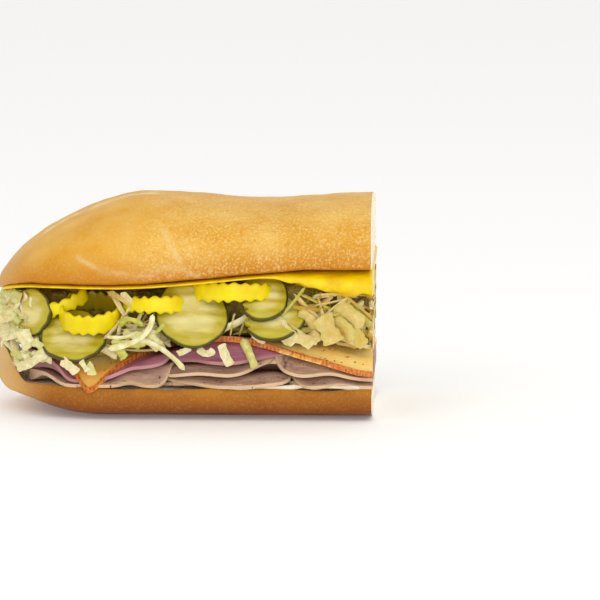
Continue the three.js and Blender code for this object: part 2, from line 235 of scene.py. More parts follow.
def crust(name, pale, gold, brown, blister_share):
    material, tree = new_material(name)
    where = local(tree)
    clouds = field(tree, where, 16, 0.32, 0.68, 4)
    colour = blend(tree, clouds, gold, pale)
    # Towards the lower edge the crust is darkened: partly browning, partly painted shade.
    colour = blend(tree, "bake", colour, brown)
    # The rounded end is painted paler: painted light where the end lies in shade.
    colour = blend(tree, "pale_end", colour, "#E2B872")
    # Pale blisters: partly their own colour, partly painted highlights.
    blisters = times(tree, field(tree, where, 0.9, 0.48, 0.7, 2), painted(tree, "blistered"))
    colour = blend(tree, times(tree, blisters, blister_share), colour, "#FADF9C")
    pits = times(tree, field(tree, local(tree, (0.8, 1, 1)), 1.6, 0.55, 0.75, 2), painted(tree, "blistered"))
    colour = blend(tree, times(tree, pits, blister_share), colour, brown)
    flour = painted(tree, "flour")
    dusting = times(tree, flour, field(tree, local(tree, (0.5, 1, 1)), 2.2, 0.25, 0.6, 3))
    colour = blend(tree, dusting, colour, "#F2DDAA")
    skin = field(tree, where, 1.1, 0.3, 0.75, 3)
    finish_material(tree, colour, skin, 0.3, 0.4, Roughness=0.5, Specular_IOR_Level=0.2)
    return material


def crumb():
    material, tree = new_material("white_bread_crumb")
    where = local(tree)
    # Darker spots for the holes: painted shade in the holes.
    holes = field(tree, where, 1.2, 0.52, 0.74, 4)
    colour = blend(tree, holes, "#FFF6E0", "#EBD6AA")
    grain = field(tree, where, 1.8, 0.7, 0.3, 4)
    finish_material(tree, colour, grain, 0.6, 0.9, Roughness=0.9, Specular_IOR_Level=0.15)
    return material


CROWN_CRUST = crust("golden_crust", "#E6B656", "#D99C28", "#BE7600", 0.42)
# The heel's crust is browner than the crown's, and its colours are also darker as painted shade.
HEEL_CRUST = crust("brown_and_shaded_base_crust", "#B87618", "#A0600C", "#803E08", 0.12)
CRUMB = crumb()

# %% [markdown]
# ## Finishing a piece
# A piece is built as a bmesh. Its skin is a grid rolled into a tube and pinched shut at both ends: one
# operator makes the grid, and a rule gives each point its place. Doubles at the seam are merged and the
# normals made to point out.

# %% Helpers for pieces
def skin(rows, columns, place):
    bm = bmesh.new()
    bmesh.ops.create_grid(bm, x_segments=rows, y_segments=columns, size=0.5)
    for vert in bm.verts:
        vert.co = place(vert.co.x + 0.5, vert.co.y + 0.5)
    bmesh.ops.remove_doubles(bm, verts=bm.verts, dist=1e-4)
    bmesh.ops.recalc_face_normals(bm, faces=bm.faces)
    return bm


def paint(bm, name, value):
    layer = bm.verts.layers.float.new(name)
    for vert in bm.verts:
        vert[layer] = value(vert)


def push(bm, amount):
    """Moves each point along its normal by a rule."""
    bm.normal_update()
    moves = [(vert, vert.normal * amount(vert)) for vert in bm.verts]
    for vert, move in moves:
        vert.co += move


def keep_flush(bm):
    for vert in bm.verts:
        vert.co.x = min(vert.co.x, CUT)
        vert.co.z = max(vert.co.z, 0.0)


def make(name, bm, materials, nodes=(), slot=None, sharp=40):
    bmesh.ops.scale(bm, vec=(MM, MM, MM), verts=bm.verts)
    limit = math.radians(sharp)
    for edge in bm.edges:
        edge.smooth = len(edge.link_faces) == 2 and edge.calc_face_angle() < limit
    for face in bm.faces:
        face.smooth = True
    mesh = bpy.data.meshes.new(name)
    bm.to_mesh(mesh)
    bm.free()
    for material in materials:
        mesh.materials.append(material)
    piece = bpy.data.objects.new(name, mesh)
    scene.collection.objects.link(piece)
    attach(piece, "root")
    if nodes:
        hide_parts(*nodes)
    print(name, len(mesh.polygons), "faces")
    return piece


def cut_faces(bm, index):
    """The faces that lie on the cut get another material."""
    for face in bm.faces:
        if abs(face.normal.x) > 0.3 and face.calc_center_median().x > CUT - 2.5:
            face.material_index = index


# %% [markdown]
# ## The crown
# The top half of the roll is a long dome with a flat underside. Its section is two half superellipses, a
# tall one above the widest line and a shallow, squarer one below. The rows run from the rounded end to
# the cut and then shrink towards the middle of the cut face, so that the crumb is part of the same skin
# and can be made uneven. The baker's score is a pale, floury groove along the top, and the creases are
# shallow lines where the dough folded.

# %% Crown
def tube_row(u, share_end=0.03, share_cut=0.93):
    """Where a row lies along the roll, and how far it has shrunk towards the middle of an end."""
    if u < share_end:
        return NOSE, u / share_end
    if u > share_cut:
        return CUT, 1 - (u - share_cut) / (1 - share_cut)
    t = (u - share_end) / (share_cut - share_end)
    return NOSE + LENGTH * t**1.35, 1.0


def crown_point(u, v):
    x, size = tube_row(u)
    turn = 2 * math.pi * v
    foot = split_height(x)
    tall = max(2.0, crown_height(x) - foot)
    shoulder = min(4.5, tall / 3)
    width = max(1.5, half_width(x))
    c, s = math.cos(turn), math.sin(turn)
    if s >= 0:
        y, z = width * bent(c, 0.86), foot + shoulder + (tall - shoulder) * s**0.86
    else:
        y, z = width * bent(c, 0.42), foot + shoulder - shoulder * abs(s) ** 0.5
    middle = foot + tall * 0.45
    return Vector((x, y * size, mix(middle, z, size)))


def to_line(point, start, end):
    """Distance of a point from a stretch of a line, in a plane."""
    along = end - start
    t = min(1.0, max(0.0, (point - start).dot(along) / along.length_squared))
    return (point - start - along * t).length


def to_path(point, path):
    return min(to_line(point, Vector(a), Vector(b)) for a, b in zip(path, path[1:]))


SCORE = [(-56, -5), (-44, -3.5), (-30, -1.5), (-13, 1)]
CREASES = [
    [(-42, 65.5), (-33, 61), (-21, 58.8), (-13.5, 59), (-7.5, 62), (-1, 61.5), (6, 58.5)],
    [(-9, 77), (-4, 69), (0, 61.5)],
]


def score_depth(point):
    if point.z < split_height(point.x) + 12:
        return 0.0
    ragged = 0.6 * lumps(point, 2.5, 14) + 0.5 * lumps(point, 6, 15)
    return bell(to_path(Vector((point.x, point.y)), SCORE) + ragged, 0, 3.2)


def crease_depth(point):
    if point.y > -8 or point.x > 25 or point.x < -55:
        return 0.0
    return max(bell(to_path(Vector((point.x, point.z)), path), 0, 0.9) for path in CREASES)


def crown_relief(vert):
    p = vert.co
    if p.x > CUT - 0.01:
        return 0.0
    waves = 0.55 * lumps(p, 26) + 0.3 * lumps(p, 9, 1) + 0.1 * lumps(p, 3, 2)
    return waves - 0.7 * score_depth(p) - 0.45 * crease_depth(p) - 0.2


def crumb_relief(bm):
    """On the cut face the crumb stands back unevenly from the crust."""
    for vert in bm.verts:
        p = vert.co
        if p.x > CUT - 0.01:
            vert.co.x -= 0.5 + 0.5 * lumps(p, 4, 5) + 0.35 * lumps(p, 1.8, 6)


def crown():
    bm = skin(150, 150, crown_point)
    push(bm, crown_relief)
    paint(bm, "flour", lambda v: min(0.9, 0.95 * score_depth(v.co) + 0.38 * crease_depth(v.co)))
    # Painted light on the rounded end.
    paint(bm, "pale_end", lambda v: 0.4 * smooth(NOSE + 16, NOSE, v.co.x))
    # Darker towards the split: partly browning, partly painted shade.
    paint(bm, "bake", lambda v: 0.95 * smooth(17, 0, v.co.z - split_height(v.co.x))
          + 0.15 * max(0.0, lumps(v.co, 14, 3)))
    # Where the pale blisters and their painted highlights lie.
    paint(bm, "blistered", lambda v: 0.25 + 0.75 * smooth(-30, 10, v.co.x + 14 * lumps(v.co, 25, 12)))
    crumb_relief(bm)
    keep_flush(bm)
    cut_faces(bm, 1)
    return make("crown_crust", bm, [CROWN_CRUST, CRUMB], ["crown"], "bread", 50)


crown()

# %% [markdown]
# ## The heel
# The bottom half is a shallow boat: flat underneath, bulging at the sides, with a flat top of crumb and
# an end that curls up. The same rows are used, and the lip follows the rounded end at an even distance
# from its edge.

# %% Heel
def lip_height(x, y):
    edge = max(0.0, 1 - (x - NOSE + 0.4) / 48) ** 2.1 + (abs(y) / (HALF_WIDTH - 0.5)) ** 2.1
    tip = 3.0 * (1 - smooth(0, 4, x - NOSE))
    return (HEEL_LIP - tip) * smooth(0.74, 0.93, edge) * (1 - smooth(1, 13, x - NOSE))


def heel_point(u, v):
    x, size = tube_row(u)
    turn = 2 * math.pi * v
    under = heel_underside(x) + 4.5 * max(0.0, 1 - (x - NOSE) / 6) ** 2
    bulge = mix(under, HEEL_TOP, 0.62)
    width = max(1.5, half_width(x) - 0.5)
    c, s = math.cos(turn), math.sin(turn)
    if s >= 0:
        y = width * bent(c, 0.36)
        rim = smooth(0.9, 0.965, abs(y) / width) * (2.5 + 0.8 * lumps((x, bent(c, 0.1) * 9, 0), 11, 4))
        z = mix(bulge, HEEL_TOP + rim + lip_height(x, y), s**0.42)
    else:
        y, z = width * bent(c, 0.6), mix(bulge, under, abs(s) ** 0.6)
    middle = mix(under, HEEL_TOP, 0.5) + 0.35 * HEEL_LIP * (1 - smooth(0, 2, x - NOSE))
    return Vector((x, y * size, mix(middle, z, size)))


def heel_relief(vert):
    p = vert.co
    if p.x > CUT - 0.01 or p.z < 1.5:
        return 0.0
    rim = smooth(HEEL_TOP - 3, HEEL_TOP, p.z)
    return 0.4 * lumps(p, 22, 8) + 0.12 * lumps(p, 6, 9) - 0.2 + rim * 0.5 * lumps(p, 13, 10)


def heel():
    bm = skin(140, 130, heel_point)
    push(bm, heel_relief)
    paint(bm, "flour", lambda v: 0.0)
    # Painted light on the rounded end, where it lies in shade.
    paint(bm, "pale_end", lambda v: 0.75 * smooth(NOSE + 24, NOSE + 2, v.co.x + 3 * lumps(v.co, 11, 16)))
    # Blisters with painted highlights, evenly over the heel.
    paint(bm, "blistered", lambda v: 0.6)
    # Darker towards the bottom: partly browning, partly painted shade.
    paint(bm, "bake", lambda v: 0.95 * smooth(15, 1, v.co.z) * smooth(-76, -50, v.co.x)
          + 0.1 * max(0.0, lumps(v.co, 10, 3)))
    crumb_relief(bm)
    keep_flush(bm)
    cut_faces(bm, 1)
    for face in bm.faces:
        centre = face.calc_center_median()
        edge = max(0.0, 1 - (centre.x - NOSE) / 48) ** 2.1 + (abs(centre.y) / HALF_WIDTH) ** 2.1
        if face.normal.z > 0.4 and centre.z > HEEL_TOP - 1 and edge < 0.86:
            face.material_index = 1
    return make("heel_crust", bm, [HEEL_CRUST, CRUMB], ["heel"], "bread", 50)


heel()

# %% [markdown]
# ## Sheets
# Meat and cheese are thin sheets that lie on each other. A sheet starts as a flat grid, is cut square
# where the knife went through, is draped by a rule for its height, and is then given its thickness. The
# outline's own wander and a rim that is painted by nearness to the edge keep the stack from looking
# stamped.

# %% Helper for sheets
def sheet(bm, plan, height, thick, cells, cuts=(), edge=None, fuller=None):
    """Adds a sheet to bm. `plan` places its grid, `height` drapes it, `edge` tells how near the rim it is."""
    part = bmesh.new()
    bmesh.ops.create_grid(part, x_segments=cells[0], y_segments=cells[1], size=1)
    rim = part.verts.layers.float.new("rim")
    for vert in part.verts:
        a, b = vert.co.x, vert.co.y
        vert[rim] = edge(a, b) if edge else 0.0
        x, y = plan(a, b)
        vert.co = (x, y, 0)
    for point, normal in cuts:
        geometry = part.verts[:] + part.edges[:] + part.faces[:]
        bmesh.ops.bisect_plane(part, geom=geometry, plane_co=point, plane_no=normal, clear_outer=True)
    if part.faces and sum(face.normal.z for face in part.faces) < 0:
        bmesh.ops.reverse_faces(part, faces=part.faces)
    for vert in part.verts:
        vert.co.z = height(vert.co.x, vert.co.y)
    part.normal_update()
    bmesh.ops.solidify(part, geom=part.faces[:], thickness=thick)
    if fuller:
        for vert in part.verts:
            x, y = vert.co.x, vert.co.y
            if vert.co.z < height(x, y) - thick / 2:
                vert.co.z = min(vert.co.z, max(vert.co.z - fuller(x, y), HEEL_TOP + 0.2))
    part.normal_update()
    mesh = bpy.data.meshes.new("sheet")
    part.to_mesh(mesh)
    part.free()
    bm.from_mesh(mesh)
    bpy.data.meshes.remove(mesh)


KNIFE = ((CUT - 0.05, 0, 0), (1, 0, 0))


def knife(bm):
    """Takes off what the knife would have taken, and closes the cut."""
    if max(vert.co.x for vert in bm.verts) <= KNIFE[0][0]:
        return
    geometry = bm.verts[:] + bm.edges[:] + bm.faces[:]
    bmesh.ops.bisect_plane(bm, geom=geometry, plane_co=KNIFE[0], plane_no=KNIFE[1], clear_outer=True)
    bmesh.ops.holes_fill(bm, edges=[edge for edge in bm.edges if edge.is_boundary], sides=0)


def slice_plan(start, end, front, back, phase):
    """A slice of meat in plan: a soft rectangle whose outline wanders a little."""
    def plan(a, b):
        turn = math.atan2(b, a)
        wander = 1 + 0.022 * math.sin(3 * turn + phase) + 0.013 * math.sin(7 * turn - phase)
        x = a * math.sqrt(1 - 0.2 * b**4) * wander
        y = b * math.sqrt(1 - 0.2 * a**6) * wander
        place_x = (start + end) / 2 + x * (end - start) / 2
        skew = 0.045 * math.sin(2 * phase) * (place_x - (start + end) / 2)
        return place_x, within_roll(place_x, (front + back) / 2 + y * (back - front) / 2 + skew)
    return plan


def within_roll(x, y):
    """Meat narrows with the rounded end, so that it stays inside the bread."""
    return y * min(1.0, half_width(x) * mix(0.8, 1.0, smooth(-68, -42, x)) / 40.8)


def near_edge(a, b):
    return max(smooth(0.955, 1.0, abs(b)), smooth(0.93, 1.0, abs(a)))


# %% [markdown]
# ## Roast pork and ham
# Roast pork is sliced thin: a grey-brown face with a paler, fatty rim and here and there dark, peppery
# crust. Ham is smoother and mauve-pink with a thin pale edge. Both get fine fibres from a stretched
# noise. The top slice of a stack hangs over the front of the others, as a soft slice does, so that faces
# show and not only edges.

# %% Meat materials
def pork_material():
    material, tree = new_material("roast_pork")
    where = local(tree)
    fibres = field(tree, local(tree, (0.3, 1, 1.6)), 2.2, 0.3, 0.72, 4)
    colour = blend(tree, fibres, "#A6826C", "#C29E84")
    clouds = field(tree, where, 9, 0.45, 0.7, 3)
    colour = blend(tree, clouds, colour, "#987060")
    colour = blend(tree, "rim", colour, "#D8B892")
    specks = field(tree, where, 1.5, 0.69, 0.74, 1)
    colour = blend(tree, specks, colour, "#6B4427")
    # A dark, spotted patch is painted on one fold right of the middle.
    colour = blend(tree, "crust", colour, "#4B3220")
    grain = field(tree, local(tree, (0.4, 1, 1)), 1.1, 0.3, 0.7, 3)
    finish_material(tree, colour, grain, 0.5, 0.35, Roughness=0.45, Specular_IOR_Level=0.45,
                    Subsurface_Weight=0.12, Subsurface_Scale=0.002)
    return material


def ham_material():
    material, tree = new_material("cooked_ham")
    fibres = field(tree, local(tree, (0.25, 1, 1.5)), 3, 0.3, 0.72, 3)
    colour = blend(tree, fibres, "#A35C74", "#C07C8C")
    colour = blend(tree, "rim", colour, "#BC8488")
    grain = field(tree, local(tree, (0.4, 1, 1)), 1.4, 0.3, 0.7, 3)
    finish_material(tree, colour, grain, 0.3, 0.3, Roughness=0.38, Specular_IOR_Level=0.5,
                    Subsurface_Weight=0.15, Subsurface_Scale=0.002)
    return material


# %% Slices of meat
MEATS = {"pork": (pork_material(), "roast_pork", 1.3), "ham": (ham_material(), "ham", 1.4)}


def stack(kind, number, shares, span, count, phase, lift=(0, 0, 1)):
    """`count` slices between two shares of the meat's height. The top one hangs over the front."""
    material, slot, thick = MEATS[kind]
    start, end, front, back = span
    low, high = shares
    amount, lift_from, lift_to = lift
    bm = bmesh.new()
    for k in range(count):
        top_share = mix(low, high, (k + 1) / count)
        turn = phase + 1.7 * k
        hangs = k == count - 1
        near = front + (0.0 if hangs else 4.5 + 0.8 * k)
        left, right = start + 2.5 * math.sin(3 * turn), end + 2.5 * math.sin(5 * turn)
        plan = slice_plan(left, right, near, back - k, turn)

        def height(x, y):
            level = meat_level(top_share, x, y)
            swell = 0.5 + 0.9 * lumps((x, 0.6 * y, 0), 13, 5) + 0.5 * math.sin(x / 4.7 + 1)
            swell *= mix(0.5, 1.0, smooth(0.05, 0.4, top_share))
            swell += 0.35 * lumps((x, y, 40 * k), 8, turn)
            level += amount * smooth(lift_from, lift_to, x) * smooth(-20, -36, y)
            bottom = meat_level(low, x, y) + thick + 0.15 + 0.8 * amount * smooth(lift_from, lift_to, x)
            if hangs:
                wave = 0.8 * lumps((x, 0, 7), 9, turn)
                level = mix(level, bottom, smooth(near + 6.5 + wave, near - 0.2, y))
            if low == 0:
                swell *= mix(0.25, 1.0, smooth(near, near + 10, y))
            return min(max(level + swell, HEEL_TOP + 0.3 + thick), meat_top(x, y) + 0.2)

        def fuller(x, y):
            room = (meat_level(high, x, y) - meat_level(low, x, y)) / count - thick - 0.12
            return max(0.0, room) * smooth(front + 8, front + 16, y)

        sheet(bm, plan, height, thick, (64, 60), [KNIFE], near_edge, fuller)
    layer = bm.verts.layers.float.new("crust")
    for vert in bm.verts:
        p = vert.co
        # The dark, spotted patch on the fold right of the middle, on the upper pork only.
        near_fold = bell(p.x, 38, 5) * smooth(-30, -37, p.y) * (kind == "pork") * smooth(19, 22, p.z)
        vert[layer] = near_fold * smooth(-0.1, 0.3, lumps(p, 1.6, 4))
    return make("%s_slices_%d" % (kind, number), bm, [material], ["%s_%d" % (kind, number)], slot, 50)


stack("pork", 1, (0, 0.35), (-67, -34, -38.8, 36), 1, 0.4)
stack("pork", 2, (0, 0.65), (-40, -4, -40.2, 38), 2, 2.1)
stack("pork", 3, (0, 0.25), (-12, 45, -40.4, 39), 2, 3.3, (2, 22, 44))
stack("pork", 4, (0.25, 0.5), (-13, 43, -38.8, 37), 2, 5.2, (5, 16, 42))
stack("pork", 5, (0, 0.45), (40, 84, -40.4, 39), 2, 1.2)
stack("pork", 6, (0.45, 1), (37, 84, -38.8, 37), 3, 4.4)
stack("ham", 1, (0.35, 1), (-65, -36, -37.6, 34), 2, 1.7)
stack("ham", 2, (0.65, 1), (-40, -5, -38.4, 37), 2, 0.9)
stack("ham", 3, (0.5, 1), (-9, 44, -37.0, 38), 3, 2.8, (3, 15, 42))

# %% [markdown]
# ## Cheese with an orange rind
# The cheese is a square slice of a pale block that was rolled in paprika, so its cut edge carries an
# orange-red, finely toothed rind. One corner hangs over the meat at the front, and the second slice runs
# down to the cut.

# %% Cheese
CHEESE_THICK = 2.2
TOOTH_SPACING = 1.5
WAVE_PERIOD = 0.314  # a wave texture repeats this often in each unit of its place


def cheese_material():
    material, tree = new_material("sliced_cheese")
    where = local(tree)
    clouds = field(tree, where, 8, 0.35, 0.7, 3)
    colour = blend(tree, clouds, "#FFDE88", "#FFCA60")
    specks = field(tree, where, 1.7, 0.68, 0.74, 1)
    colour = blend(tree, specks, colour, "#B06A28")
    colour = blend(tree, "glow", colour, "#EE9A22")
    teeth = {"Vector": where, "Scale": WAVE_PERIOD * per_mm(TOOTH_SPACING), "Distortion": 6.0, "Detail": 2.0}
    wave = add(tree, "ShaderNodeTexWave", teeth, wave_type="BANDS", bands_direction="X").outputs[1]
    speckle = field(tree, where, 0.9, 0.4, 0.62, 1)
    red = blend(tree, wave, "#A83C08", "#D0701C")
    red = blend(tree, times(tree, speckle, 0.5), red, "#E8983A")
    colour = blend(tree, "rim", colour, red)
    grain = field(tree, where, 1.0, 0.3, 0.7, 2)
    finish_material(tree, colour, grain, 0.25, 0.4, Roughness=0.42, Specular_IOR_Level=0.45,
                    Subsurface_Weight=0.15, Subsurface_Scale=0.003)
    return material


CHEESE = cheese_material()
TIP = Vector((-38, -43.5))
SIDE_RIGHT = Vector((math.cos(math.radians(39.5)), math.sin(math.radians(39.5))))
SIDE_LEFT = Vector((-SIDE_RIGHT.y, SIDE_RIGHT.x))
FIRST_BACK, SECOND_BACK = 38, 38.5


def drape(x, y):
    return 5 * smooth(-34, -43, y) * bell(x, -38, 14)


def cheese_rise(x, y):
    """Over the last slices the cheese climbs steeply from its front edge."""
    return 3.6 * smooth(24, 55, x) * smooth(-39, -31, y) * smooth(-6, -22, y)


def cheese_height(x, y):
    waves = 0.25 * lumps((x, y, 0), 9, 2)
    return meat_top(x, y) + 0.3 + CHEESE_THICK - drape(x, y) + cheese_rise(x, y) + waves


def toothed(distance, along):
    """The rind's edge comes and goes by a third of a millimetre."""
    return 0.35 * noise.noise(Vector((along * 0.9, distance * 0.1, 3.3)))


def cheese_slice(name, plan, cuts, edge_distance):
    bm = bmesh.new()
    sheet(bm, plan, cheese_height, CHEESE_THICK, (90, 60), cuts)
    rim = bm.verts.layers.float["rim"]
    glow = bm.verts.layers.float.new("glow")
    for vert in bm.verts:
        inset = edge_distance(vert.co)
        vert[rim] = smooth(0.85, 0.3, inset + 0.5 * lumps(vert.co, 1.1, 7))
        vert[glow] = 0.6 * smooth(9, 1, inset + 2 * lumps(vert.co, 4, 8)) * smooth(25, -5, vert.co.x)
        if inset < 0.3 and vert.co.y < 0:
            vert.co.y += toothed(inset, vert.co.x) - 0.1
    return make("cheese_slice_%s" % name[-1], bm, [CHEESE], [name], "cheese", 60)


def first_plan(a, b):
    along, across = (a + 1) ** 1.35 * 33, (b + 1) ** 1.35 * 33
    place = TIP + SIDE_RIGHT * along + SIDE_LEFT * across
    return place.x, place.y


def first_edge(p):
    offset = Vector((p.x, p.y)) - TIP
    return min(offset.dot(SIDE_RIGHT), offset.dot(SIDE_LEFT), FIRST_BACK - p.y)


def second_front(x):
    return mix(-33.4, -41.6, (x - 8.6) / 81.4)


def second_plan(a, b):
    x = mix(-4, 90, (a + 1) / 2)
    return x, mix(second_front(x), SECOND_BACK, ((b + 1) / 2) ** 1.3)


def second_edge(p):
    return min(abs(p.y - second_front(p.x)), SECOND_BACK - p.y)


cheese_slice("cheese_1", first_plan, [((-63, 0, 0), (-1, 0, 0)), ((0, FIRST_BACK, 0), (0, 1, 0)),
             ((7, -33, 0), (1, -0.113, 0)), ((-60, 26, 0), (-0.6, 0.8, 0))], first_edge)
cheese_slice("cheese_2", second_plan, [KNIFE, ((9, -33, 0), (-1, 0.113, 0))], second_edge)

# %% [markdown]
# ## Pickle chips
# A pickle chip is a disc with a dark green skin and a pale, glassy middle, cut with a wavy blade. The
# ridges run across both faces, and the pale middle is painted in bands across them, partly its own colour
# and partly painted light on the ridges. The same rolled and pinched grid is used, so that the chip is one
# closed skin, and the disc is bowed.

# %% Pickles
def pickle_material():
    material, tree = new_material("dill_pickle")
    where = add(tree, "ShaderNodeAttribute", attribute_name="face_place").outputs["Vector"]
    streaks = add(tree, "ShaderNodeMapping", {"Vector": where, "Scale": (0.10, 0.26, 1)}).outputs[0]
    pale = field(tree, streaks, 1000, 0.36, 0.66, 3)
    colour = blend(tree, pale, "#B5A01C", "#CFBF58")
    # The pale middle: its own colour, in bands that are partly painted light on the ridges.
    colour = blend(tree, "core", colour, "#EBE0A2")
    colour = blend(tree, "flesh_edge", colour, "#B8A818")
    colour = blend(tree, "skin", colour, "#484712")
    grain = field(tree, local(tree), 1.4, 0.3, 0.7, 2)
    finish_material(tree, colour, grain, 0.2, 0.3, Roughness=0.25, Specular_IOR_Level=0.35,
                    Subsurface_Weight=0.2, Subsurface_Scale=0.003)
    return material


PICKLE = pickle_material()
RIDGE = 4.4
CHIP_HALF = 1.45


def placed(at, turn, tilt, roll=0):
    return (Matrix.Translation(at) @ Matrix.Rotation(math.radians(turn), 4, "Z")
            @ Matrix.Rotation(math.radians(tilt), 4, "X") @ Matrix.Rotation(math.radians(roll), 4, "Y"))


def pickle_rim(angle, radius, phase):
    return radius * (1 + 0.025 * math.sin(2 * angle + phase) + 0.015 * math.sin(5 * angle + phase))


def pickle(number, at, turn, tilt, radius, curl, phase, torn=False):
    def place(u, v):
        angle = 2 * math.pi * u
        around = math.pi * (v - 0.5)
        out, up = math.cos(around), -math.sin(around)
        reach = pickle_rim(angle, radius, phase) * out**0.55
        x, y = reach * math.cos(angle), reach * math.sin(angle)
        if torn:
            tear = -0.62 * radius + 1.3 * math.sin(y * 1.7 + phase) + 0.7 * lumps((x, y, 0), 1.5, phase)
            x = max(x, tear - 0.5 * up)
        wave = 0.26 * math.cos(2 * math.pi * y / RIDGE + phase) + 0.3 * lumps((x, y, 0), 5, phase)
        return Vector((x, y, CHIP_HALF * bent(up, 0.35) + wave - curl * (x / radius) ** 2))

    bm = skin(84, 56, place)
    bmesh.ops.dissolve_degenerate(bm, edges=bm.edges, dist=1e-3)
    place_layer = bm.verts.layers.float_vector.new("face_place")
    skin_layer = bm.verts.layers.float.new("skin")
    flesh = bm.verts.layers.float.new("flesh_edge")
    core = bm.verts.layers.float.new("core")
    for vert in bm.verts:
        p = vert.co
        inset = pickle_rim(math.atan2(p.y, p.x), radius, phase) - math.hypot(p.x, p.y)
        vert[place_layer] = p + Vector((phase * 9, phase * 5, 0))
        vert[skin_layer] = smooth(1.15, 0.45, inset)
        vert[flesh] = 0.9 * smooth(5.2, 1.4, inset + 0.8 * lumps(p, 4, phase))
        # Bands across the ridges: painted light on the pale middle.
        crest = 0.65 + 0.35 * math.cos(math.pi * (p.y + 1.5 * lumps(p, 6, phase)) / RIDGE + phase)
        core_room = smooth(0.8, 0.45, math.hypot(p.x, p.y) / radius + 0.15 * lumps(p, 5, phase + 1))
        vert[core] = 0.6 * core_room * smooth(0.1, 0.8, crest)
    bmesh.ops.transform(bm, matrix=placed(at, turn, tilt), verts=bm.verts)
    knife(bm)
    return make("pickle_chip_%d" % number, bm, [PICKLE], ["pickle_%d" % number], "pickle", 60)


PICKLES = [
    ((-62, -25.4, 41.5), -38, 80, 10.2, 0.8), ((-44.7, -33, 33), -2, 46, 13, 1.2),
    ((3, -34.6, 42.6), 3, 62, 14.6, 1.4), ((34.6, -32.9, 44.7), 4, 52, 14.8, 0.6),
    ((31.4, -34.1, 49.2), 4, 52, 10.6, 0.6), ((-40, 31, 36), 186, 50, 13.4, 1),
    ((8, 32, 38), 176, 56, 14, 1.2), ((66, 28, 38), 183, 42, 14.2, 0.8),
]
for index, values in enumerate(PICKLES, 1):
    pickle(index, *values, phase=index, torn=index in (4, 5))

# %% [markdown]
# ## Banana pepper rings
# The rings are slices of a hollow yellow pepper, cut with the same wavy blade, so that both edges of the
# wall rise and fall together. The outside is bright and glossy; the inside is duller and greener, partly
# its own colour and partly painted shade inside the ring. A grid closed both ways makes a ring.

# %% Pepper rings
def pepper_material():
    material, tree = new_material("banana_pepper")
    tone = field(tree, local(tree), 7, 0.35, 0.7, 3)
    colour = blend(tree, tone, "#EEDC00", "#E4C800")
    # The inside: duller and greener, partly its own colour and partly painted shade.
    colour = blend(tree, "inside", colour, "#B7A01A")
    colour = blend(tree, "cut_edge", colour, "#D8C21E")
    grain = field(tree, local(tree), 1.6, 0.3, 0.7, 2)
    finish_material(tree, colour, grain, 0.15, 0.3, Roughness=0.3, Specular_IOR_Level=0.25,
                    Subsurface_Weight=0.15, Subsurface_Scale=0.003)
    return material


PEPPER = pepper_material()
CREST_SPACING = 5
WALL_HALF = 1.05


def pepper(number, at, turn, tilt, roll, across, deep, tall):
    crests = 2 * round(across / CREST_SPACING / 2)
    phase = number * 1.9

    def place(u, v):
        angle, around = 2 * math.pi * u, 2 * math.pi * v
        out, up = bent(math.cos(around), 0.7), bent(math.sin(around), 0.55)
        wall = WALL_HALF + 0.2 * noise.noise(Vector((math.cos(angle), math.sin(angle), phase)))
        wobble = 1 + 0.03 * math.sin(3 * angle + phase) + 0.015 * math.sin(7 * angle - phase)
        reach_x = across / 2 * wobble - WALL_HALF + wall * out
        reach_y = deep / 2 * wobble - WALL_HALF + wall * out
        uneven = noise.noise(Vector((3 * math.cos(angle), 3 * math.sin(angle), phase)))
        ripple = (0.5 + 0.25 * uneven) * math.cos(math.pi * crests * math.cos(angle) + 1.5 * uneven)
        height = tall / 2 * (1 + 0.08 * math.sin(2 * angle + phase))
        return Vector((reach_x * math.cos(angle), reach_y * math.sin(angle), height * up + ripple))

    bm = skin(200, 20, place)
    inside = bm.verts.layers.float.new("inside")
    cut_edge = bm.verts.layers.float.new("cut_edge")
    for vert in bm.verts:
        p = vert.co
        share = math.hypot(p.x / (across / 2 - WALL_HALF), p.y / (deep / 2 - WALL_HALF)) - 1
        # The inside wall, partly painted shade inside the ring.
        vert[inside] = smooth(0.02, -0.05, share)
        vert[cut_edge] = 0.7 * smooth(tall / 2 - 0.9, tall / 2, abs(p.z))
    bmesh.ops.transform(bm, matrix=placed(at, turn, tilt, roll), verts=bm.verts)
    knife(bm)
    return make("pepper_ring_%d" % number, bm, [PEPPER], ["pepper_%d" % number], "banana_pepper", 70)


PEPPERS = [
    ((-38, -28.4, 41.6), 0, 17, 0, 25.6, 25, 8.6), ((-11.6, -27, 45.2), 0, -7, 0, 26.4, 26, 6.2),
    ((20, -26.6, 50.6), 0, -6, 0, 35, 28, 7), ((-48.5, -23, 45.6), 8, 3, -22, 19, 19, 5.6),
    ((-30, 24, 44.6), 180, 6, 0, 27, 26, 7.4), ((22, 24.6, 48), 180, -4, 0, 31, 27, 7),
    ((64, 3, 49.4), 70, 5, 0, 28, 25, 6.4),
]
for index, values in enumerate(PEPPERS, 1):
    pepper(index, *values)

# %% [markdown]
# ## Mustard and mayonnaise
# Mustard is spread under the crown and shows as a thin bright line, swelling to a thick, glossy mass at
# the front corner of the cut. Mayonnaise makes a pale bead where the lowest slices meet the heel. Both
# are closed skins with soft, lumpy undersides.

# %% Sauces
def sauce(name, light, deep, roughness):
    material, tree = new_material(name)
    tone = field(tree, local(tree), 6, 0.35, 0.7, 3)
    colour = blend(tree, tone, light, deep)
    grain = field(tree, local(tree), 2.2, 0.3, 0.7, 3)
    finish_material(tree, colour, grain, 0.25, 0.5, Roughness=roughness, Specular_IOR_Level=0.28,
                    Subsurface_Weight=0.15, Subsurface_Scale=0.003)
    return material


MUSTARD = sauce("yellow_mustard", "#F4D200", "#DDB200", 0.28)
MAYO = sauce("mayonnaise", "#EFE3CC", "#DCCBAE", 0.35)


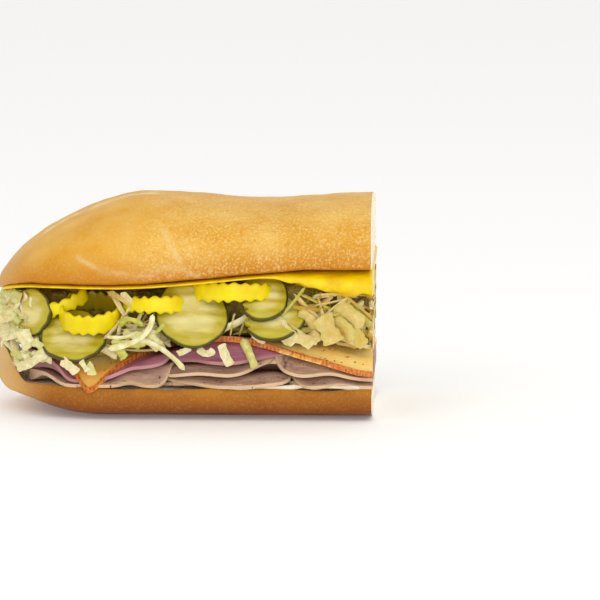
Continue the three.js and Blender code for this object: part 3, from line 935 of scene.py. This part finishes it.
def mustard_point(u, v):
    t = min(1.0, max(0.0, (u - 0.03) / 0.92))
    size = smooth(0, 0.03, u) if u < 0.5 else smooth(1, 0.95, u)
    x = mix(-74.5, CUT - 0.2, t)
    turn = 2 * math.pi * v
    c, s = math.cos(turn), math.sin(turn)
    width = half_width(x) - 0.9 + 0.6 * lumps((x, 3 * bent(c, 0.1), 0), 6, 3)
    top = split_height(x) + 0.9
    mass = smooth(26, 50, x)
    y = width * bent(c, 0.5)
    drip = 3.2 * smooth(38, 74, x) * smooth(-30, -38, y)
    uneven = 2.2 * mass * lumps((x, y, 0), 5, 2) * smooth(-28, -37, y)
    under = mustard_underside(x, y) + 0.8 - 0.5 * mass - drip - uneven
    under -= 0.35 * smooth(width - 3, width, abs(y))
    middle, half = (top + under) / 2, (top - under) / 2
    bulge = 1.2 * mass * smooth(-30, -37, y) * (1 - abs(s)) * (1 if c < 0 else 0)
    x += 0.7 * mass * (1 - size)
    return Vector((x, y * (0.9 + 0.1 * size) - bulge, middle + half * bent(s, 0.6) * size))


mustard = skin(150, 80, mustard_point)
make("mustard_spread", mustard, [MUSTARD], ["mustard"], "mustard", 70)


def mayo_point(u, v):
    x = mix(6, CUT - 0.3, u)
    turn = 2 * math.pi * v
    ends = smooth(0, 0.12, u) * smooth(1, 0.98, u)
    size = ends * (0.55 + 0.3 * bell(x, 22, 14) + 0.5 * lumps((x, 0, 0), 6, 6))
    y = -38.9 + 1.7 * math.cos(turn) * size + 0.9 * lumps((x, 0, 0), 8, 9)
    z = HEEL_TOP + 1.0 + 1.5 * math.sin(turn) * size + 0.5 * lumps((x, 0, 0), 7, 5)
    return Vector((x, y, z))


mayo = skin(90, 14, mayo_point)
make("mayonnaise", mayo, [MAYO], (), "mustard", 70)

# %% [markdown]
# ## Shredded lettuce
# Iceberg lettuce is shredded into pale, curved ribbons with a few greener edges. The pile is a lumpy
# core, coloured dark olive as painted shade for the lettuce deep in the filling, with several hundred
# loose ribbons laid over its sides, its end and the cut. Each ribbon is one small grid, rolled to a flat
# tube that follows its own bend and is pinched at both ends.

# %% Lettuce materials
def lettuce_material():
    material, tree = new_material("shredded_iceberg_lettuce")
    veins = field(tree, local(tree), 2.0, 0.3, 0.7, 3)
    pale = blend(tree, veins, "#F5E9C2", "#DCC878")
    green = blend(tree, veins, "#C8C440", "#A0A420")
    colour = blend(tree, "green", pale, green)
    colour = blend(tree, "stain", colour, "#D2A82C")
    grain = field(tree, local(tree), 1.2, 0.3, 0.7, 2)
    finish_material(tree, colour, grain, 0.3, 0.35, Roughness=0.3, Specular_IOR_Level=0.5,
                    Subsurface_Weight=0.25, Subsurface_Scale=0.002)
    return material


def core_material():
    material, tree = new_material("lettuce_in_shade")
    tone = field(tree, local(tree), 3.5, 0.35, 0.7, 4)
    # Dark olive colours: painted shade for lettuce deep in the filling.
    colour = blend(tree, tone, "#6C561C", "#B09A48")
    finish_material(tree, colour, tone, 0.8, 1.5, Roughness=0.5, Specular_IOR_Level=0.3)
    return material


LETTUCE = lettuce_material()
SHADE = core_material()

# %% Lettuce core
def filling_floor(x, y):
    return meat_top(x, y) + 2.6 - drape(x, y) * 0.5 + cheese_rise(x, y)


def core_point(u, v):
    t = min(1.0, max(0.0, (u - 0.03) / 0.92))
    size = smooth(0, 0.03, u) if u < 0.5 else smooth(1, 0.95, u)
    x = mix(-69, CUT - 1.6, t)
    turn = 2 * math.pi * v
    c, s = math.cos(turn), math.sin(turn)
    y = half_width(x) * 0.79 * bent(c, 0.5)
    low, high = filling_floor(x, y), mustard_underside(x, y) - 0.2
    point = Vector((x, y * (1 - 0.06 * s), mix(low, high, 0.5 + 0.5 * bent(s, 0.5))))
    if c < 0:
        behind_rings = 17 * bell(x, -38, 12) + 8 * bell(x, -10, 12) + 8 * bell(x, 20, 16)
        point.y += behind_rings * smooth(35, 41, point.z)
    point = Vector((x, 0, mix(low, high, 0.5))).lerp(point, size)
    return point + Vector((0, 1, 0.3)) * 1.3 * lumps(point, 7, 11)


# The core is painted shade: dark lettuce where the filling lies in shadow.
core = skin(120, 70, core_point)
keep_flush(core)
make("lettuce_core_in_shade", core, [SHADE], (), "lettuce", 60)

# %% Ribbons
random.seed(20)
shreds = bmesh.new()
green_layer = shreds.verts.layers.float.new("green")
stain_layer = shreds.verts.layers.float.new("stain")


def ribbon(path, side, width, thick, green, stain=0.0, cells=9, rough=0.25):
    """One ribbon along a path of points from 0 to 1. `side` gives the direction of its width there."""
    made = bmesh.ops.create_grid(shreds, x_segments=cells, y_segments=6, size=0.5)["verts"]
    wander = random.random() * 50
    for vert in made:
        u, v = vert.co.x + 0.5, vert.co.y + 0.5
        middle = path(u)
        along = (path(min(1, u + 0.02)) - path(max(0, u - 0.02))).normalized()
        across = side(u)
        across = (across - along * across.dot(along)).normalized()
        out = along.cross(across)
        size = min(1.0, 0.55 + 6 * u * (1 - u)) if 0 < u < 1 else 0.0
        ragged = 1 + rough * noise.noise(Vector((u * 5, wander, 0)))
        turn = 2 * math.pi * v
        curl = 0.25 * width * math.cos(turn) ** 2 * math.sin(wander)
        vert.co = (middle + across * (math.cos(turn) * width / 2 * size * ragged)
                   + out * (math.sin(turn) * thick / 2 * size + curl * size))
        vert.co.x = max(NOSE - 1.5, min(vert.co.x, CUT - 0.05))
        vert[green_layer] = min(1.0, max(0.0, green + 0.35 * (abs(math.cos(turn)) - 0.5) * (green > 0.2)))
        vert[stain_layer] = stain


def outline_points(inset):
    """The roll's outline in plan, from the cut along the front, round the end, and back to the cut."""
    front = []
    x = CUT
    while x > NOSE + 0.6:
        front.append((x, -max(0.5, half_width(x) * inset)))
        x -= 1.0 if x > NOSE + 12 else 0.25
    front = [(max(x, NOSE + 3.5), y) for x, y in front]
    return front + [(x, -y) for x, y in reversed(front)]


def along_outline(points, share):
    place = share * (len(points) - 2)
    i = int(place)
    a, b = Vector(points[i]), Vector(points[i + 1])
    at = a.lerp(b, place - i)
    ahead = Vector(points[min(len(points) - 1, i + 2)]) - Vector(points[max(0, i - 1)])
    tangent = ahead.normalized()
    return at, tangent, Vector((tangent.y, -tangent.x)) * -1


SIDES = outline_points(0.87)

CLEAR = [(at[0], at[2], radius * 0.95) for at, _, _, radius, _ in PICKLES[:5]]
CLEAR += [(at[0], at[2], across * 0.42) for at, _, _, _, across, _, _ in PEPPERS[:3]]
CLEAR += [(-38, 48, 11), (-48.5, 46, 9)]


def covered(x, y, z):
    """True where a ribbon at the front would hide a pickle or a pepper ring."""
    return y < -12 and any(math.hypot((x - cx) * 0.9, (z - cz) * 1.5) < reach for cx, cz, reach in CLEAR)


def loose_ribbon():
    at, tangent, outward = along_outline(SIDES, random.random())
    if outward.dot(at - Vector((20, 0))) < 0:
        outward = -outward
    low, high = filling_floor(at.x, at.y * 0.72) + 0.5, mustard_underside(at.x, at.y) - 1.0
    height = random.uniform(low, high)
    if covered(at.x, at.y, height):
        return 0
    tilt = random.gauss(0, 0.75)
    length = random.uniform(8, 24)
    span_up = min(abs(math.sin(tilt)) * length, (high - low) * 0.9)
    depth = random.uniform(-2.2, 1.2)
    depth -= 4.0 * (1 - (height - low) / (high - low)) * smooth(-66, -50, at.x)
    start = Vector((at.x, at.y, 0)) + Vector((outward.x, outward.y, 0)) * depth
    run = Vector((tangent.x, tangent.y, 0)) * math.cos(tilt) * length
    rise = math.copysign(span_up, tilt)
    centre = min(max(height, low + span_up / 2), high - span_up / 2)
    bow, sway = random.uniform(-5, 5), random.uniform(-2.0, 1.0)

    def path(t):
        s = t - 0.5
        lift = centre + rise * s + bow * (1 - 4 * s * s) * 0.5
        point = start + run * s + Vector((outward.x, outward.y, 0)) * sway * (4 * s * s)
        return Vector((point.x, point.y, min(max(lift, low - 1), high)))

    roll = random.gauss(0, 0.7)
    up = Vector((0, 0, 1)) * math.cos(roll) + Vector((outward.x, outward.y, 0)) * math.sin(roll)
    tone = random.random()
    green = 0.0 if tone < 0.62 else random.uniform(0.25, 0.9)
    stain = 0.8 * smooth(high - 9, high, centre) * random.random()
    stain += (0.2 + 0.7 * smooth(20, 60, at.x)) * random.random()
    ribbon(path, lambda t: up, random.uniform(1.2, 3.4), random.uniform(0.5, 0.9), green, stain)
    return 1


def cut_ribbon():
    """Ribbons that the knife went through lie across the cut face."""
    y = random.uniform(-33, 33)
    low, high = filling_floor(CUT, y) + 1, mustard_underside(CUT, y) - 1
    z = random.uniform(low, high)
    angle, length = random.gauss(0.0, 0.7), random.uniform(6, 15)
    depth = CUT - random.uniform(0.5, 2.0)
    bow = random.uniform(-2, 2)

    def path(t):
        s = t - 0.5
        lift = z + math.sin(angle) * length * s + bow * (1 - 4 * s * s) * 0.5
        return Vector((depth - 1.5 * s * s, y + math.cos(angle) * length * s, min(max(lift, low), high)))

    tone = random.random()
    ribbon(path, lambda t: Vector((0.3, 0, 1)), random.uniform(1.6, 3.6), random.uniform(0.5, 0.9),
           0.0 if tone < 0.6 else random.uniform(0.25, 0.8), 0.3 * random.random())


LOOSE_RIBBONS, CUT_RIBBONS = 640, 120
laid = sum(loose_ribbon() for _ in range(LOOSE_RIBBONS))
for _ in range(CUT_RIBBONS):
    cut_ribbon()
print("ribbons laid at random:", laid + CUT_RIBBONS)

# %% [markdown]
# The ribbons that cross the cheese and the meat at the front are listed one by one: each is a start, a middle
# and an end, with a width and how green it is.

# %% Ribbons laid one by one
LAID = [
    # start, middle, end, width, green
    ((-12.5, -39, 43), (-17, -40.5, 34), (-30.5, -40.5, 29), 2.2, 0.0),
    ((-19, -40, 33), (-9, -41, 29), (0.5, -40.5, 20.5), 2.0, 0.1),
    ((-14, -38.5, 37), (-13, -39.5, 33), (-9, -39.5, 29.5), 4.6, 0.25),
    ((-2.5, -39, 27), (0, -39.6, 28.4), (3, -39.4, 29.5), 2.4, 0.0),
    ((6, -39, 29.5), (9, -39.6, 27.5), (12, -39.4, 29), 2.8, 0.1),
    ((15, -38.6, 31), (17, -40, 26.5), (19, -40.2, 22.5), 3.4, 0.05),
    ((23.6, -37.6, 33), (26, -39.6, 27), (28.6, -40.4, 21.5), 3.0, 0.6),
    ((-26, -38, 38), (-22, -39.4, 40.5), (-16, -38.6, 38), 2.2, 0.95),
    ((-24, -38.6, 36), (-20, -39.6, 34.5), (-16, -39, 35), 2.6, 0.3),
    ((-29, -39, 32), (-23, -40, 30.6), (-15, -39.6, 31), 2.8, 0.7),
    ((-26.5, -40.2, 29), (-25, -40.8, 27), (-23.5, -40.6, 25), 3.2, 0.85),
    ((-31, -40, 34), (-24, -40.6, 33.6), (-18, -40, 36), 1.4, 0.2),
    ((-68.5, -20, 36), (-72.5, -16, 31), (-74, -12, 24), 2.6, 0.0),
    ((-72, -14, 37), (-71, -18, 41), (-69, -21, 44), 4.8, 0.2),
    ((-66, -29, 35), (-64, -31, 31), (-62, -32.5, 28), 5.0, 0.0),
    ((-70, -25, 26), (-65, -29.5, 24.5), (-61, -32, 25.5), 2.8, 0.65),
    ((-68, -27.5, 20), (-62, -33, 22.5), (-55, -36.5, 28), 3.4, 0.05),
    ((-61, -33, 31), (-58, -35.5, 29.5), (-54.5, -36.5, 26.5), 3.0, 0.35),
    ((-73, -18, 44), (-72, -20, 41), (-66, -27, 38), 3.4, 0.6),
    ((-49, -41, 24.5), (-45.5, -42, 22.5), (-42.5, -42.4, 19.5), 3.6, 0.0),
    ((-38.5, -42.4, 23), (-37, -42.8, 21.5), (-36.5, -43, 18.6), 3.2, 0.45),
    ((-41, -42.3, 24.6), (-39.5, -42.8, 22.6), (-38, -42.8, 20.4), 2.0, 0.2),
    ((36, -37, 41), (40, -38.4, 36), (45, -38.8, 32), 6.2, 0.0),
    ((40, -37.6, 37), (48, -38.8, 33.5), (52, -39, 31), 5.0, 0.1),
    ((55, -38, 42.5), (58, -39, 37), (60.5, -39.4, 31.5), 7.2, 0.3),
    ((59, -37.6, 41), (64, -39, 37), (68, -39.4, 32.5), 5.6, 0.5),
    ((61, -37, 47), (66, -38.8, 42.5), (71.5, -39, 38), 6.4, 0.25),
    ((67.5, -38, 37), (70, -39.4, 33.5), (72.5, -39.4, 30.5), 5.0, 0.55),
    ((54, -37.2, 36), (52, -38.6, 34), (50, -38.6, 31.5), 4.6, 0.1),
    ((46, -36, 44), (50, -37.4, 41), (53, -37.6, 37), 3.6, 0.25),
    ((-8, -38, 39), (-11, -39, 36), (-15, -39, 34), 1.6, 0.9),
    ((-75, -9, 46), (-73.5, -17, 43), (-69, -24, 38), 8.5, 0.2),
    ((-74.5, -8, 38), (-72.5, -18, 36), (-68, -26, 31), 7.0, 0.05),
    ((-74, -10, 50), (-71, -19, 48), (-66, -26, 47), 5.0, 0.55),
    ((-74, -8, 30), (-72, -17, 28), (-67, -25, 25), 3.0, 0.1),
    ((-73.5, -10, 35), (-70, -20, 33), (-66, -26, 30.5), 3.4, 0.0),
    ((-71, -16, 24), (-68, -23, 21), (-63, -30, 21.5), 3.2, 0.3),
    ((-70, -20, 30), (-68.5, -24, 26), (-67, -26, 20), 2.4, 0.0),
    ((-73, -12, 40), (-71, -18, 36), (-67.5, -24.5, 35), 4.0, 0.15),
    ((-65, -29, 27), (-63, -31.5, 24), (-61.5, -33, 20), 2.8, 0.0),
    ((-62, -32, 26), (-58, -34.5, 24.4), (-53, -37, 24.6), 3.6, 0.2),
    ((27, -37.2, 38), (29, -38.6, 34.5), (33, -38.8, 32.5), 3.0, 0.1),
]


def laid_ribbon(start, middle, end, width, green):
    a, b, c = Vector(start), Vector(middle), Vector(end)

    def path(t):
        return a * (1 - t) ** 2 + (b * 2 - (a + c) / 2) * 2 * t * (1 - t) + c * t * t

    along = (c - a).normalized()
    across = along.cross(Vector((0.1, -1, 0.15))).normalized()
    stain = 0.55 * smooth(20, 50, a.x)

    def side(t):
        return across + Vector((0, 0.5 * math.sin(3 * t), 0))

    ribbon(path, side, 1.15 * width, 0.45, green, stain, 24, 0.3)


for values in LAID:
    laid_ribbon(*values)
bmesh.ops.remove_doubles(shreds, verts=shreds.verts, dist=1e-4)
bmesh.ops.recalc_face_normals(shreds, faces=shreds.faces)
make("lettuce_shreds", shreds, [LETTUCE], ["lettuce"], "lettuce", 80)

# %% [markdown]
# ## Floor, light and camera
# The sandwich stands on a white floor under soft, even studio light: broad lamps from the upper left and
# the right in front, a low one straight ahead, one from above for the crown, and a bright surrounding
# that fills the shadows.

# %% Floor and light
FLOOR_HALF = 6.0


def floor():
    bm = bmesh.new()
    bmesh.ops.create_grid(bm, x_segments=1, y_segments=1, size=FLOOR_HALF)
    mesh = bpy.data.meshes.new("floor")
    bm.to_mesh(mesh)
    bm.free()
    material, tree = new_material("white_studio_floor")
    paper = {"Base Color": linear("#F7F6F4"), "Roughness": 0.85,
             "Emission Color": linear("#FFFFFF"), "Emission Strength": 0.12}
    shader = add(tree, "ShaderNodeBsdfPrincipled", paper)
    add(tree, "ShaderNodeOutputMaterial", {"Surface": shader.outputs[0]})
    mesh.materials.append(material)
    plane = bpy.data.objects.new("floor", mesh)
    scene.collection.objects.link(plane)


def lamp(name, position, watts, size, colour="#FFFFFF"):
    data = bpy.data.lights.new(name, "AREA")
    data.energy = watts
    data.size = size
    data.color = linear(colour)[:3]
    light = bpy.data.objects.new(name, data)
    light.location = position
    light.rotation_euler = (Vector((0.0, 0.0, 0.04)) - Vector(position)).to_track_quat("-Z", "Y").to_euler()
    scene.collection.objects.link(light)


floor()
lamp("key", (-0.55, -0.8, 0.75), 1.5, 0.7)
lamp("fill", (0.8, -0.7, 0.45), 1.8, 0.8)
lamp("top", (0.05, 0.25, 1.1), 0.8, 0.9)
lamp("front", (0.15, -1.3, 0.22), 3.0, 0.6)
world = bpy.data.worlds.new("studio")
world.use_nodes = True
world.node_tree.nodes["Background"].inputs["Color"].default_value = linear("#FFFFFF")
world.node_tree.nodes["Background"].inputs["Strength"].default_value = 0.82
scene.world = world
scene.view_settings.view_transform = "Standard"

# %% [markdown]
# ## Camera
# A long lens from a little above the table and a little to the right shows the front and a sliver of the
# cut.

# %% Camera
TARGET = Vector((45.9, -20, 46.1)) * MM
DISTANCE = 3.0
azimuth, elevation = math.radians(1.7), math.radians(8.5)
level = math.cos(elevation)
direction = Vector((math.sin(azimuth) * level, -math.cos(azimuth) * level, math.sin(elevation)))
camera_data = bpy.data.cameras.new("camera")
camera_data.lens = 448
camera_data.sensor_width = 36
camera = bpy.data.objects.new("camera", camera_data)
camera.location = TARGET + direction * DISTANCE
camera.rotation_euler = direction.to_track_quat("Z", "Y").to_euler()
scene.collection.objects.link(camera)
scene.camera = camera

# %% [markdown]
# ## The end
# The view layer is brought up to date.

# %% The end
bpy.context.view_layer.update()
